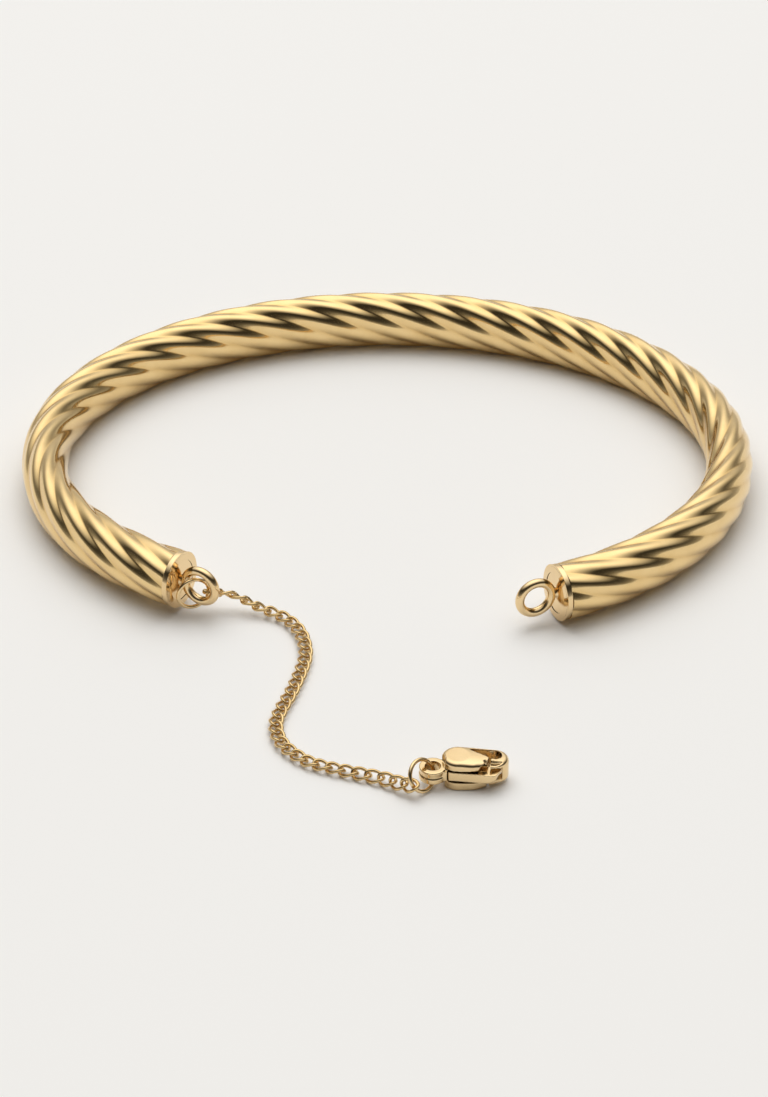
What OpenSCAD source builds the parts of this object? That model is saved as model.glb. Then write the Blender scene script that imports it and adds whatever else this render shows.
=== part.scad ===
// Oval bangle of hollow twisted tube with a curb safety chain and a lobster clasp.
// Millimetres. The bangle lies flat: Z is up, the floor is Z = 0, the gap faces -Y,
// and the origin is the middle of the wrist opening on the floor.

/* [Oval] */
// Half length of the oval, from its centre to the middle of the tube
oval_half_length = 31; // [28:0.5:34]
// Half width of the oval, from its centre to the middle of the tube
oval_half_width = 25.4; // [23:0.2:28]
// Turn from the front of the oval to the right end of the tube, in degrees
right_end_angle = 28.6; // [25:0.2:32]
// Turn from the front of the oval to the left end of the tube, in degrees
left_end_angle = 35.6; // [32:0.2:38]
// Height that the left end springs up from the plane of the bangle
left_end_lift = 0.3; // [0:0.05:0.5]

/* [Twisted tube] */
// Width of the tube across the crests of its ribs, measured level
tube_width = 4.2; // [3.8:0.1:5]
// Height of the tube across the crests of its ribs
tube_height = 5.45; // [5:0.05:6.4]
// Number of ribs round the tube
rib_count = 8; // [7:1:9]
// Depth of the valleys between the ribs
rib_depth = 0.22; // [0.16:0.01:0.3]
// Length of tube in which a rib goes once round
twist_pitch = 36.5; // [30:0.5:48]
// Thickness of the metal under the valleys
tube_wall = 0.5; // [0.35:0.05:0.6]
// Width of the rounder section at the tube's two ends
end_width = 4.7; // [4.2:0.1:5]
// Height of the section at the two ends
end_height = 5.1; // [4.8:0.05:5.4]
// Length of tube over which its section grows rounder to each end
end_length = 18; // [10:1:24]

/* [End caps] */
// Thickness of the cap's disc
cap_thickness = 0.5; // [0.4:0.05:1]
// Width of the polished bevel round the cap's rim
cap_bevel = 0.14; // [0.08:0.02:0.2]
// Length of the plug that holds the cap in the tube
plug_length = 1.6; // [1:0.1:3]
// Gap between the plug and the inside of the tube
plug_gap = 0.1; // [0.06:0.01:0.15]
// Gap that shows as a fine seam between the tube and its cap
seam_gap = 0.05; // [0.03:0.01:0.1]
// Outer diameter of the eyelet soldered to each cap
eyelet_diameter = 3.75; // [3.5:0.05:4.2]
// Diameter of the eyelet's round wire
eyelet_wire = 0.8; // [0.65:0.05:0.85]
// Height of the solder between the cap and the eyelet's wire
solder_height = 0.05; // [0.03:0.01:0.15]
// Diameter of the solder's foot on the cap
solder_foot = 1.3; // [1:0.1:1.6]

/* [Jump rings] */
// Outer diameter of the ring between the left eyelet and the chain
chain_ring_diameter = 3.1; // [3:0.02:3.2]
// Outer diameter of the ring between the chain and the clasp
clasp_ring_diameter = 2.88; // [2.84:0.02:3]
// Diameter of the wire of both rings
ring_wire = 0.34; // [0.28:0.02:0.36]

/* [Safety chain] */
// Distance from one link to the next along a stretched chain
link_pitch = 1.12; // [1.08:0.01:1.2]
// Diameter of the link's wire
link_wire = 0.29; // [0.22:0.01:0.3]
// Outer width of a link
link_width = 1.32; // [1.28:0.01:1.45]
// Free play between a link's end and its neighbour
link_play = 0.16; // [0.14:0.01:0.25]
// Turn of each end of a link out of its middle plane, in degrees
link_twist = 45; // [43:1:48]

/* [Clasp] */
// Length of the cast body from the middle of its tail ring to the end of its hook
clasp_length = 6.05; // [5.8:0.05:6.6]
// Width of the clasp's body
clasp_width = 2.65; // [2.6:0.05:2.9]
// Thickness of the clasp's body
clasp_thickness = 2.62; // [2.5:0.02:2.8]
// Thickness of the sprung lever between the two walls of the body
lever_thickness = 0.8; // [0.7:0.02:0.9]
// Clear slit on each side of the lever
lever_slit = 0.18; // [0.12:0.01:0.2]
// Turn of the lever from shut to fully pressed, in degrees
lever_travel = 20; // [15:1:22]
// Outer diameter of the tail ring
tail_diameter = 2.25; // [2.1:0.05:2.4]
// Hole of the tail ring
tail_hole = 1.24; // [1.16:0.02:1.3]
// Height of the tail ring
tail_height = 1.12; // [1:0.02:1.14]
// Diameter of the lever's pivot pin
pin_diameter = 0.44; // [0.36:0.02:0.5]

/* [Hidden] */
$fn = 48;

gold = [0.83, 0.67, 0.36];
pale_gold = [0.87, 0.73, 0.44];

// Plan of the bangle: an ellipse followed anticlockwise from the right end to the left
start_angle = right_end_angle - 90;
end_angle = 270 - left_end_angle;
function unit(v) = v / norm(v);
function oval_point(a) = [oval_half_length * cos(a), oval_half_width * sin(a)];
function oval_heading(a) = unit([-oval_half_length * sin(a), oval_half_width * cos(a)]);
function sums(steps, i = 0, total = 0) =
    i == len(steps) ? [total] : concat([total], sums(steps, i + 1, total + steps[i]));

// Table of angle against length along the tube, for even rings
angle_steps = 150;
oval_angles = [for (i = [0:angle_steps]) start_angle + (end_angle - start_angle) * i / angle_steps];
oval_lengths = sums([for (i = [1:angle_steps])
    norm(oval_point(oval_angles[i]) - oval_point(oval_angles[i - 1]))]);
tube_length = oval_lengths[angle_steps];
angle_table = [for (i = [0:angle_steps]) [oval_lengths[i], oval_angles[i]]];

// Twisted tube: rings of vertices that ride along the ribs
tube_middle = tube_height / 2;
rib_facets = 6;
ring_step = 2.2;
first_valley_angle = 28.2;
// Share of the rib's form that is a round crest between sharp valleys; the rest is an even wave
rib_sharpness = 0.45;
outer_count = rib_count * rib_facets;
bore_count = outer_count / 2;
ring_count = ceil(tube_length / ring_step);

// Smooth share of the way to the end, 1 at either end and 0 past the end's length
function ease(t) = t * t * (3 - 2 * t);
function end_share(s) = ease(max(0, 1 - min(s, tube_length - s) / end_length));
function width_at(s) = tube_width + (end_width - tube_width) * end_share(s);
function height_at(s) = tube_height + (end_height - tube_height) * end_share(s);
function middle_at(s) = tube_middle + (s > tube_length / 2 ? left_end_lift * end_share(s) : 0);
function rib_sink(j) =
    let (place = (j % rib_facets) / rib_facets)
    rib_depth * (rib_sharpness * pow(2 * place - 1, 2) + (1 - rib_sharpness) * (1 + cos(360 * place)) / 2);
function section_point(s, half_w, half_h, turn) =
    let (a = lookup(s, angle_table), c = oval_point(a), t = oval_heading(a), r = half_w * cos(turn))
    [c.x + t.y * r, c.y - t.x * r, middle_at(s) + half_h * sin(turn)];
function turn_at(s, share) = first_valley_angle + 360 * share - 360 * s / twist_pitch;
function outer_ring(s) = [for (j = [0:outer_count - 1])
    section_point(s, width_at(s) / 2 - rib_sink(j), height_at(s) / 2 - rib_sink(j),
                  turn_at(s, j / outer_count))];
bore_inset = rib_depth + tube_wall;
function bore_ring(s) = [for (j = [0:bore_count - 1])
    section_point(s, width_at(s) / 2 - bore_inset, height_at(s) / 2 - bore_inset,
                  turn_at(s, j / bore_count))];

module twisted_tube() {
    lengths = [for (i = [0:ring_count]) tube_length * i / ring_count];
    points = concat([for (s = lengths) each outer_ring(s)], [for (s = lengths) each bore_ring(s)]);
    bore_start = (ring_count + 1) * outer_count;
    function outer(i, j) = i * outer_count + j % outer_count;
    function bore(i, j) = bore_start + i * bore_count + j % bore_count;
    outer_faces = [for (i = [0:ring_count - 1], j = [0:outer_count - 1])
        each [[outer(i, j), outer(i, j + 1), outer(i + 1, j)],
              [outer(i, j + 1), outer(i + 1, j + 1), outer(i + 1, j)]]];
    bore_faces = [for (i = [0:ring_count - 1], j = [0:bore_count - 1])
        each [[bore(i, j), bore(i + 1, j), bore(i, j + 1)],
              [bore(i, j + 1), bore(i + 1, j), bore(i + 1, j + 1)]]];
    // Two outer steps meet one step of the bore across the end
    function end_fan(i, flip) = [for (b = [0:bore_count - 1])
        let (o = 2 * b)
        each [for (f = [[outer(i, o), outer(i, o + 1), bore(i, b)],
                        [bore(i, b), outer(i, o + 1), bore(i, b + 1)],
                        [outer(i, o + 1), outer(i, o + 2), bore(i, b + 1)]])
            flip ? [f[0], f[2], f[1]] : f]];
    color(gold)
        polyhedron(points, concat(outer_faces, bore_faces, end_fan(0, true), end_fan(ring_count, false)),
                   convexity = 10);
}

// Frames at the two ends: the cap's own X runs out of the tube, and its Z is up
module at_end(angle, way, lift) {
    c = oval_point(angle);
    h = way * oval_heading(angle);
    translate([c.x, c.y, tube_middle + lift]) rotate([0, 0, atan2(h.y, h.x)]) children();
}

cap_radius = (end_width + end_height) / 4;
plug_width = end_width - 2 * (bore_inset + plug_gap);
plug_height = end_height - 2 * (bore_inset + plug_gap);
plug_radius = (plug_width + plug_height) / 4;
eyelet_radius = (eyelet_diameter - eyelet_wire) / 2;
eyelet_reach = seam_gap + cap_thickness + solder_height + eyelet_diameter / 2;

// Bevelled disc with a plug behind it and an upright wire eyelet soldered to its face
module end_cap() {
    $fn = 64;
    rotate([0, 90, 0]) {
        translate([0, 0, seam_gap])
            scale([end_height / 2 / cap_radius, end_width / 2 / cap_radius, 1])
                rotate_extrude()
                    polygon([[0, 0], [cap_radius - cap_bevel / 3, 0], [cap_radius, cap_bevel / 3],
                             [cap_radius, cap_thickness - cap_bevel],
                             [cap_radius - cap_bevel, cap_thickness], [0, cap_thickness]]);
        translate([0, 0, -plug_length])
            scale([plug_height / 2 / plug_radius, plug_width / 2 / plug_radius, 1])
                cylinder(h = plug_length + seam_gap + cap_thickness / 2, r = plug_radius);
        translate([0, 0, seam_gap + cap_thickness / 2])
            cylinder(h = cap_thickness / 2 + solder_height + eyelet_wire / 2,
                     r1 = solder_foot / 2, r2 = eyelet_wire / 4);
    }
    translate([eyelet_reach, 0, 0])
        rotate([90, 0, 0])
            rotate_extrude()
                translate([eyelet_radius, 0]) circle(d = eyelet_wire);
}

module end_cap_right() { color(pale_gold) at_end(start_angle, -1, 0) end_cap(); }
module end_cap_left() { color(pale_gold) at_end(end_angle, 1, left_end_lift) end_cap(); }

// Middle of the left eyelet's hole and of the clasp's tail hole
left_eyelet = let (c = oval_point(end_angle), h = oval_heading(end_angle))
    [c.x + h.x * eyelet_reach, c.y + h.y * eyelet_reach, tube_middle + left_end_lift];
clasp_place = [3.6, -45.8, 0];
tail_rise = -0.05;
tail_middle = clasp_place + [0, 0, clasp_thickness / 2 + tail_rise];

// Each jump ring hangs with its wire close to the middle of the hole that it passes through
chain_ring_radius = (chain_ring_diameter - ring_wire) / 2;
clasp_ring_radius = (clasp_ring_diameter - ring_wire) / 2;
chain_ring_hang = unit([-0.62, 0.17, -0.85]);
clasp_ring_hang = unit([-0.87, -0.75, 0.15]);
chain_ring_middle = left_eyelet + chain_ring_hang * (chain_ring_radius - 0.3);
clasp_ring_middle = tail_middle + clasp_ring_hang * (clasp_ring_radius - 0.11);
// Plan direction and lean from upright of each ring's axis, in degrees
chain_ring_axis = [-68.6, 91.7];
clasp_ring_axis = [-42.1, 63.4];
// Place round each ring where the end link hangs, in degrees
chain_start_place = -8;
chain_finish_place = 195;

function ring_spot(middle, axis, radius, place) =
    let (across = [-sin(axis[0]), cos(axis[0]), 0],
         down = [cos(axis[0]) * cos(axis[1]), sin(axis[0]) * cos(axis[1]), -sin(axis[1])])
    middle + radius * (across * cos(place) - down * sin(place));
chain_start = ring_spot(chain_ring_middle, chain_ring_axis, chain_ring_radius, chain_start_place);
chain_finish = ring_spot(clasp_ring_middle, clasp_ring_axis, clasp_ring_radius, chain_finish_place);

module jump_ring(middle, axis, radius) {
    translate(middle) rotate([0, axis[1], axis[0]])
        rotate_extrude()
            translate([radius, 0]) circle(d = ring_wire);
}

module chain_ring() {
    color(pale_gold) jump_ring(chain_ring_middle, chain_ring_axis, chain_ring_radius);
}

module clasp_ring() {
    color(pale_gold) jump_ring(clasp_ring_middle, clasp_ring_axis, clasp_ring_radius);
}

// Route of the loose chain over the floor, chosen by hand: X, Y and the height of its middle
chain_route = [
    [-13.6, -21.2, 1.75], [-12.4, -21.4, 1.35], [-11.2, -21.8, 0.9], [-10.0, -22.2, 0.6],
    [-9.0, -22.8, 0.48], [-8.1, -23.8, 0.46], [-7.4, -25.2, 0.46], [-7.0, -26.9, 0.46],
    [-6.9, -28.8, 0.46], [-7.3, -31.2, 0.46], [-8.0, -34.0, 0.46], [-8.7, -36.2, 0.46],
    [-9.1, -38.1, 0.46], [-8.9, -40.0, 0.46], [-8.1, -41.7, 0.46], [-6.4, -43.4, 0.46],
    [-4.2, -44.4, 0.47], [-2.0, -45.2, 0.5], [-0.4, -45.9, 0.6], [0.8, -46.7, 0.78]
];
route = concat([chain_start], chain_route, [chain_finish]);

// A smooth curve through the route, as a table of point against length
route_steps = 6;
function curve(a, b, c, d, t) =
    0.5 * (2 * b + (c - a) * t + (2 * a - 5 * b + 4 * c - d) * t * t + (3 * b - a - 3 * c + d) * t * t * t);
last_route = len(route) - 1;
route_points = concat([for (i = [0:last_route - 1], j = [0:route_steps - 1])
    curve(route[max(i - 1, 0)], route[i], route[i + 1], route[min(i + 2, last_route)], j / route_steps)],
    [route[last_route]]);
route_lengths = sums([for (i = [1:len(route_points) - 1]) norm(route_points[i] - route_points[i - 1])]);
route_length = route_lengths[len(route_points) - 1];
route_tables = [for (axis = [0:2])
    [for (i = [0:len(route_points) - 1]) [route_lengths[i], route_points[i][axis]]]];
function route_at(s) = [for (axis = [0:2]) lookup(s, route_tables[axis])];

// Curb links: flattened loops of wire, each end turned out of the middle plane the opposite way
link_hollow = link_pitch + link_play;
link_half = (link_hollow + link_wire) / 2;
link_side = (link_width - link_wire) / 2;
link_squareness = 2.5;
wire_sides = 6;
link_segments = 12;
first_link = (link_hollow - ring_wire) / 2 - 0.75 * link_play;
link_count = ceil((route_length - 2 * first_link) / link_pitch) + 1;
link_step = (route_length - 2 * first_link) / (link_count - 1);

function bulge(x) = sign(x) * pow(abs(x), 2 / link_squareness);
function loop_point(u) =
    let (x = bulge(cos(u)), y = link_side * bulge(sin(u)), roll = -link_twist * x)
    [link_half * x, y * cos(roll), y * sin(roll)];
loop_points = [for (i = [0:link_segments - 1]) loop_point(360 * (i + 0.5) / link_segments)];
// The wire's section at each point, square to the loop there
link_shape = [for (i = [0:link_segments - 1])
    let (before = loop_points[(i + link_segments - 1) % link_segments],
         after = loop_points[(i + 1) % link_segments],
         along = unit(after - before), out = unit(cross(along, cross(loop_points[i], along))),
         aside = cross(along, out))
    each [for (k = [0:wire_sides - 1])
        loop_points[i] + link_wire / 2 * (out * cos(360 * k / wire_sides) + aside * sin(360 * k / wire_sides))]];

// The chain lies flat on the floor and rolls over towards the ring at each end
start_roll = -48;
finish_roll = 55;
roll_length = 7;
function roll_at(s) = start_roll * max(0, 1 - s / roll_length)
    + finish_roll * max(0, 1 - (route_length - s) / roll_length);
function link_placed(s) =
    let (ahead = unit(route_at(s + link_step / 2) - route_at(s - link_step / 2)),
         level = unit(cross([0, 0, 1], ahead)), upright = cross(ahead, level), roll = roll_at(s),
         left = level * cos(roll) + upright * sin(roll), up = upright * cos(roll) - level * sin(roll),
         middle = route_at(s))
    [for (p = link_shape) middle + p.x * ahead + p.y * left + p.z * up];
link_points = link_segments * wire_sides;
function link_faces(first) = [for (i = [0:link_segments - 1], k = [0:wire_sides - 1])
    let (a = first + i * wire_sides + k, b = first + i * wire_sides + (k + 1) % wire_sides,
         n = (i + 1) % link_segments, c = first + n * wire_sides + (k + 1) % wire_sides,
         d = first + n * wire_sides + k)
    each [[a, c, b], [a, d, c]]];

module safety_chain() {
    color(gold)
        polyhedron([for (i = [0:link_count - 1]) each link_placed(first_link + i * link_step)],
                   [for (i = [0:link_count - 1]) each link_faces(i * link_points)], convexity = 20);
}

// Clasp in its own plan: X runs from the middle of the tail ring to the hook
body_shift = 0.38;
body_radius = clasp_width / 2;
body_rear = 2.0;
body_waist = 3.0;
waist_drop = 0.1;
// The hook is narrower and lower than the casing, and stands off the floor
hook_radius = 1.12;
hook_drop = 0.32;
hook_rise = 0.42;
hook_top = clasp_thickness - hook_drop;
hook_middle = [clasp_length - hook_radius, body_shift + body_radius - hook_radius];
top_round = 0.4;
foot_round = 0.18;
round_steps = 3;
eye_radius = 0.62;
eye_tip_radius = 0.12;
hook_wall = 0.56;
rear_wall = 0.32;
eye_middle = [clasp_length - hook_wall - eye_radius, body_shift + body_radius - rear_wall - eye_radius];
eye_tip_place = 3.1;
eye_tip_inset = 0.1;
eye_tip = [eye_tip_place, body_shift + body_radius - rear_wall - eye_tip_radius - eye_tip_inset];
lever_clear = 0.08;
lever_root = 0.55;
slot_wall = 0.25;
slot_steps = 4;
pivot = [tail_diameter / 2 + slot_wall + lever_clear + lever_root, 0];
lever_end_gap = 0.52;
heel_place = 1.32;
heel_inset = 0.22;
nose_side = -0.4;
nub_place = 4.85;
nub_reach = 0.22;
lever_reach = clasp_length - lever_end_gap - lever_clear - pivot.x;
lever_heel = [heel_place - pivot.x, body_shift - body_radius + heel_inset];
heel_radius = 0.12;
nose_radius = 0.2;
nub_radius = 0.14;
function lever_spot(y, r) = [sqrt(pow(lever_reach - r, 2) - y * y), y];
lever_nose = lever_spot(nose_side, nose_radius);
lever_nub = [nub_place - pivot.x, body_shift - body_radius - nub_reach];
// The lever's underside slopes up to its tip
tip_start = 4.3;
tip_slope = 30;
gate_setback = 2.05;
gate_middle = clasp_length - gate_setback;
gate_width = 0.2;
gate_length = 1.1;
gate_lean = -14;
mouth_radius = 1.4;
mouth_depth = 0.22;
mouth_shift = 0.95;
mouth_inset = 0.85;
notch_radius = 0.46;
notch_shift = 0.1;
notch_back = -0.35;
pin_fit = 0.01;
pin_running = 0.04;
pin_cover = 0.3;
pin_foot = 0.06;
slot_height = lever_thickness + 2 * lever_slit;
slot_floor = (clasp_thickness - slot_height) / 2;

// The lever about its pivot, from its heel to the nub for the thumb; grow makes it larger all round
module lever_plan(grow) {
    hull() {
        circle(r = lever_root + grow, $fn = 32);
        translate(lever_heel) circle(r = heel_radius + grow, $fn = 16);
        translate(lever_nose) circle(r = nose_radius + grow, $fn = 16);
        translate(lever_nub) circle(r = nub_radius + grow, $fn = 16);
    }
}

// Pear-shaped eye of the hook
module eye_plan() {
    way = eye_middle - eye_tip;
    lean = atan2(way.y, way.x);
    spread = acos((eye_radius - eye_tip_radius) / norm(way));
    function rim(middle, r, a) = middle + r * [cos(a), sin(a)];
    translate(eye_middle) circle(r = eye_radius);
    translate(eye_tip) circle(r = eye_tip_radius);
    polygon([rim(eye_middle, eye_radius, lean + 180 - spread), rim(eye_tip, eye_tip_radius, lean + 180 - spread),
             rim(eye_tip, eye_tip_radius, lean + 180 + spread), rim(eye_middle, eye_radius, lean + 180 + spread)]);
}

// Upright disc with rounded edges, one of those that the body's form is drawn over
module rounded_disc(radius, low, high) {
    function corner(middle, r, start) = [for (i = [0:round_steps])
        middle + r * [cos(start + 90 * i / round_steps), sin(start + 90 * i / round_steps)]];
    rotate_extrude($fn = 32)
        polygon(concat([[0, low]], corner([radius - foot_round, low + foot_round], foot_round, -90),
                       corner([radius - top_round, high - top_round], top_round, 0), [[0, high]]));
}

module body_form() {
    hull() {
        translate([body_rear, body_shift, 0]) rounded_disc(body_radius, 0, clasp_thickness);
        translate([body_waist, body_shift, 0]) rounded_disc(body_radius, 0, clasp_thickness - waist_drop);
        translate([hook_middle.x, hook_middle.y, 0]) rounded_disc(hook_radius, hook_rise, hook_top);
    }
}

// Cast casing with its hook, the slot for the lever and the grooved tail ring
module clasp_body() {
    groove = 0.1;
    half_tail = tail_height / 2;
    rim = 0.1;
    neck_width = 1.5;
    neck_overlap = 0.45;
    color(gold) translate(clasp_place) {
        difference() {
            union() {
                body_form();
                translate([tail_diameter / 2 - neck_overlap, -neck_width / 2, tail_middle.z - half_tail + rim])
                    cube([body_rear - tail_diameter / 2, neck_width, tail_height - 2 * rim]);
            }
            translate([0, 0, -1]) linear_extrude(clasp_thickness + 2) eye_plan();
            // Open gate between the casing and the hook's nose
            translate([gate_middle, body_shift - body_radius - 1, -1]) rotate([0, 0, gate_lean])
                translate([-gate_width / 2, 0, 0])
                    cube([gate_width, body_radius + gate_length, clasp_thickness + 2]);
            // Flared mouth of the gate
            translate([gate_middle + mouth_shift, body_shift - body_radius + mouth_inset,
                       hook_top + mouth_radius - mouth_depth])
                rotate([90, 0, 0]) cylinder(h = 2, r = mouth_radius);
            // Slot that the lever swings in
            translate([pivot.x, pivot.y, slot_floor]) linear_extrude(slot_height)
                for (step = [0:slot_steps]) rotate(lever_travel * step / slot_steps) lever_plan(lever_clear);
            // Arched notch over the lever's end
            translate([gate_middle + notch_shift, notch_back, slot_floor + slot_height]) rotate([90, 0, 0])
                cylinder(h = 2, r = notch_radius);
            // Blind bore for the pin, open below
            translate([pivot.x, pivot.y, -1])
                cylinder(h = clasp_thickness + 1 - pin_cover, d = pin_diameter + 2 * pin_fit);
            // Room round the tail ring's hole
            translate([0, 0, -1]) cylinder(h = clasp_thickness + 2, d = tail_diameter - 0.2);
        }
        translate([0, 0, tail_middle.z]) rotate_extrude()
            polygon([[tail_hole / 2, -half_tail + rim], [tail_hole / 2 + rim, -half_tail],
                     [tail_diameter / 2 - rim, -half_tail], [tail_diameter / 2, -half_tail + rim],
                     [tail_diameter / 2, -groove], [tail_diameter / 2 - groove, 0],
                     [tail_diameter / 2, groove], [tail_diameter / 2, half_tail - rim],
                     [tail_diameter / 2 - rim, half_tail], [tail_hole / 2 + rim, half_tail],
                     [tail_hole / 2, half_tail - rim]]);
    }
}

// Sprung lever that shuts the hook's gate
module clasp_lever() {
    color(pale_gold)
        translate(clasp_place + [pivot.x, pivot.y, (clasp_thickness - lever_thickness) / 2])
            difference() {
                linear_extrude(lever_thickness) lever_plan(0);
                translate([0, 0, -1])
                    cylinder(h = lever_thickness + 2, d = pin_diameter + 2 * pin_running);
                translate([tip_start - pivot.x, -clasp_width, 0]) rotate([0, -tip_slope, 0])
                    translate([0, 0, -clasp_length]) cube([clasp_length, 2 * clasp_width, clasp_length]);
            }
}

module clasp_pin() {
    color(gold) translate(clasp_place + [pivot.x, pivot.y, pin_foot])
        cylinder(h = clasp_thickness - pin_cover - pin_fit - pin_foot, d = pin_diameter);
}

twisted_tube();
end_cap_right();
end_cap_left();
chain_ring();
safety_chain();
clasp_ring();
clasp_body();
clasp_lever();
clasp_pin();
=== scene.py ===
"""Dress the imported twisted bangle: polished gold tube, caps, rings, safety chain and clasp."""

import logging
import math
from dataclasses import dataclass, field
from enum import Enum
from typing import Callable, Sequence

import bmesh
import bpy
from mathutils import Euler, Matrix, Vector


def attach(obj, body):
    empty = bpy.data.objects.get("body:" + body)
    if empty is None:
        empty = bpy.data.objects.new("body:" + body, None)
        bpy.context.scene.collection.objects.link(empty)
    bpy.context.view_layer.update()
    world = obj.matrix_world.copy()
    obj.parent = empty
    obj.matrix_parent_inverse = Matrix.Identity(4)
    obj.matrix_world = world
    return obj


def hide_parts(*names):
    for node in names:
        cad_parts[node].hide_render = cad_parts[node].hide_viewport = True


log = logging.getLogger("bangle")
MM = 0.001
Piece = bpy.types.Object
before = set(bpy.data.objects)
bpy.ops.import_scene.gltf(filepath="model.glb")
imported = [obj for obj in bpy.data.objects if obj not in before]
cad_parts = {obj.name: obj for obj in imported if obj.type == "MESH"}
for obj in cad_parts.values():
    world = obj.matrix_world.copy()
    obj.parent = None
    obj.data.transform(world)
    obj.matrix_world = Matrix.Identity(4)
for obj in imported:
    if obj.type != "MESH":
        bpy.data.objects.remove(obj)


class Side(Enum):
    """The two ends of the tube, seen with the gap nearest."""

    RIGHT = "end_cap_right"
    LEFT = "end_cap_left"


class Bench:
    """Hand tools that shape one piece at a time."""

    @staticmethod
    def clear() -> None:
        """Leave edit mode and let go of every object."""
        if bpy.context.object and bpy.context.object.mode != "OBJECT":
            bpy.ops.object.mode_set(mode="OBJECT")
        bpy.ops.object.select_all(action="DESELECT")

    @staticmethod
    def hold(*pieces: Piece) -> None:
        """Select these pieces alone, with the first one active.

        Args:
            *pieces: The pieces to select.
        """
        Bench.clear()
        for piece in pieces:
            piece.select_set(True)
        bpy.context.view_layer.objects.active = pieces[0]

    @staticmethod
    def named(name: str) -> Piece:
        """Name the piece that was just added.

        Args:
            name: The piece's new name.

        Returns:
            The named piece.
        """
        piece = bpy.context.object
        piece.name = name
        piece.data.name = name
        return piece

    @staticmethod
    def edit(piece: Piece) -> None:
        """Open the piece in edit mode."""
        Bench.hold(piece)
        bpy.ops.object.mode_set(mode="EDIT")

    @staticmethod
    def pick(piece: Piece, kind: str, test: Callable[[Vector, Vector], bool]) -> None:
        """Select the parts of an open mesh that pass a test.

        Args:
            piece: The piece, in edit mode.
            kind: VERT, EDGE or FACE.
            test: Takes a part's middle and its normal, or an edge's direction.
        """
        bpy.context.tool_settings.mesh_select_mode = [kind == name for name in ("VERT", "EDGE", "FACE")]
        form = bmesh.from_edit_mesh(piece.data)
        for part in [*form.faces, *form.edges, *form.verts]:
            part.select_set(False)
        if kind == "VERT":
            chosen = [v for v in form.verts if test(v.co, v.normal)]
        elif kind == "EDGE":
            chosen = [e for e in form.edges
                      if test((e.verts[0].co + e.verts[1].co) / 2, e.verts[1].co - e.verts[0].co)]
        else:
            chosen = [f for f in form.faces if test(f.calc_center_median(), f.normal)]
        for part in chosen:
            part.select_set(True)
        form.select_flush_mode()
        bmesh.update_edit_mesh(piece.data)

    @staticmethod
    def settle(piece: Piece, turn: Euler | Matrix | None = None, place: Vector | None = None) -> Piece:
        """Turn and move a piece, and put its place into its mesh.

        Args:
            piece: The piece to settle.
            turn: Its turn about the origin.
            place: Where its own origin goes.

        Returns:
            The same piece, with its object at the origin.
        """
        Bench.hold(piece)
        if turn is not None:
            matrix = turn.to_matrix() if isinstance(turn, Euler) else turn
            piece.rotation_euler = matrix.to_euler()
        if place is not None:
            piece.location = place
        bpy.ops.object.transform_apply(location=True, rotation=True, scale=True)
        return piece

    @staticmethod
    def modify(piece: Piece, kind: str, **settings: object) -> None:
        """Add a modifier, set it and apply it.

        Args:
            piece: The piece to change.
            kind: The modifier's type.
            **settings: Its settings by name.
        """
        Bench.hold(piece)
        bpy.ops.object.modifier_add(type=kind)
        modifier = piece.modifiers[-1]
        for name, value in settings.items():
            setattr(modifier, name, value)
        bpy.ops.object.modifier_apply(modifier=modifier.name)

    @staticmethod
    def hull(*parts: Piece) -> Piece:
        """Join parts and draw one skin tightly over them all.

        Args:
            *parts: The parts, the first of which is kept.

        Returns:
            The closed form.
        """
        form = Bench.join(*parts)
        Bench.edit(form)
        bpy.ops.mesh.select_all(action="SELECT")
        bpy.ops.mesh.convex_hull()
        bpy.ops.object.mode_set(mode="OBJECT")
        return form

    @staticmethod
    def paint(piece: Piece, finish: bpy.types.Material) -> None:
        """Give the whole piece one material."""
        piece.data.materials.clear()
        piece.data.materials.append(finish)

    @staticmethod
    def cut(piece: Piece, cutter: Piece, operation: str = "DIFFERENCE") -> None:
        """Cut one piece out of another, or weld it on, and throw the tool away."""
        Bench.modify(piece, "BOOLEAN", operation=operation, solver="EXACT", object=cutter)
        bpy.data.objects.remove(cutter)

    @staticmethod
    def join(first: Piece, *others: Piece) -> Piece:
        """Join pieces into the first one.

        Args:
            first: The piece that is kept.
            *others: The pieces that go into it.

        Returns:
            The first piece.
        """
        Bench.hold(first, *others)
        bpy.ops.object.join()
        return first

    @staticmethod
    def tidy(piece: Piece, angle: float = 40.0) -> Piece:
        """Merge doubles, point the faces outwards and smooth what isn't a sharp edge.

        Args:
            piece: The closed piece.
            angle: Degrees above which an edge stays sharp.

        Returns:
            The same piece.
        """
        Bench.edit(piece)
        bpy.ops.mesh.select_all(action="SELECT")
        bpy.ops.mesh.remove_doubles(threshold=1e-7)
        bpy.ops.mesh.normals_make_consistent(inside=False)
        bpy.ops.object.mode_set(mode="OBJECT")
        bpy.ops.object.shade_smooth_by_angle(angle=math.radians(angle))
        return piece


def box_of(piece: Piece) -> tuple[Vector, Vector]:
    """Measure the box that a piece fills in the world.

    Args:
        piece: The piece to measure.

    Returns:
        The box's lowest and highest corner.
    """
    corners = [piece.matrix_world @ vertex.co for vertex in piece.data.vertices]
    return (Vector([min(corner[axis] for corner in corners) for axis in range(3)]),
            Vector([max(corner[axis] for corner in corners) for axis in range(3)]))


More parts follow.
